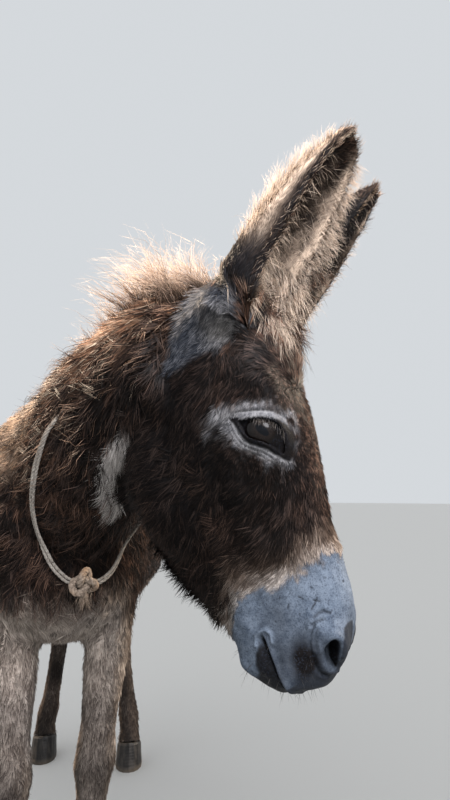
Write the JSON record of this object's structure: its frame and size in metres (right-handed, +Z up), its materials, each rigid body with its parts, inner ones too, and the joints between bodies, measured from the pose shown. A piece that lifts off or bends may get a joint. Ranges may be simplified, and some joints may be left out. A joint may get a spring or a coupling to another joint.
{
  "type": "donkey",
  "caption": "Standing donkey with a shaggy coat, head turned to its left and ears pricked, wearing a plain knotted rope collar; a still figure for farm and field scenes",
  "frame": {"origin": "on the floor under the middle of the bounding box", "axes": "+Z up, the trunk runs along Y with the chest towards -Y and the tail towards +Y, the donkey's left side is +X"},
  "size_m": [0.6618, 1.5136, 1.2013],
  "materials": {
    "coat": "shaggy dark brown hair with rufous tips",
    "coat_pale": "short grey-beige hair",
    "coat_dark": "long near-black hair",
    "eye": "wet dark brown eyeball",
    "hoof": "dark grey horn",
    "rope": "twisted plant-fibre cord"
  },
  "bodies": {
    "root": {"trunk": "coat", "neck": "coat", "head": "coat", "lower_jaw": "coat_pale", "mane": "coat", "tail_dock": "coat", "tail_tuft": "coat_dark", "ear_left": "coat", "ear_right": "coat", "eye_left": "eye", "eye_right": "eye", "foreleg_left": "coat_pale", "foreleg_right": "coat_pale", "hindleg_left": "coat_pale", "hindleg_right": "coat_pale", "shin_foreleg_left": "coat_pale", "shin_foreleg_right": "coat_pale", "shin_hindleg_left": "coat_pale", "shin_hindleg_right": "coat_pale", "hoof_foreleg_left": "hoof", "hoof_foreleg_right": "hoof", "hoof_hindleg_left": "hoof", "hoof_hindleg_right": "hoof", "rope_collar": "rope", "rope_knot": "rope"}
  },
  "joints": []
}
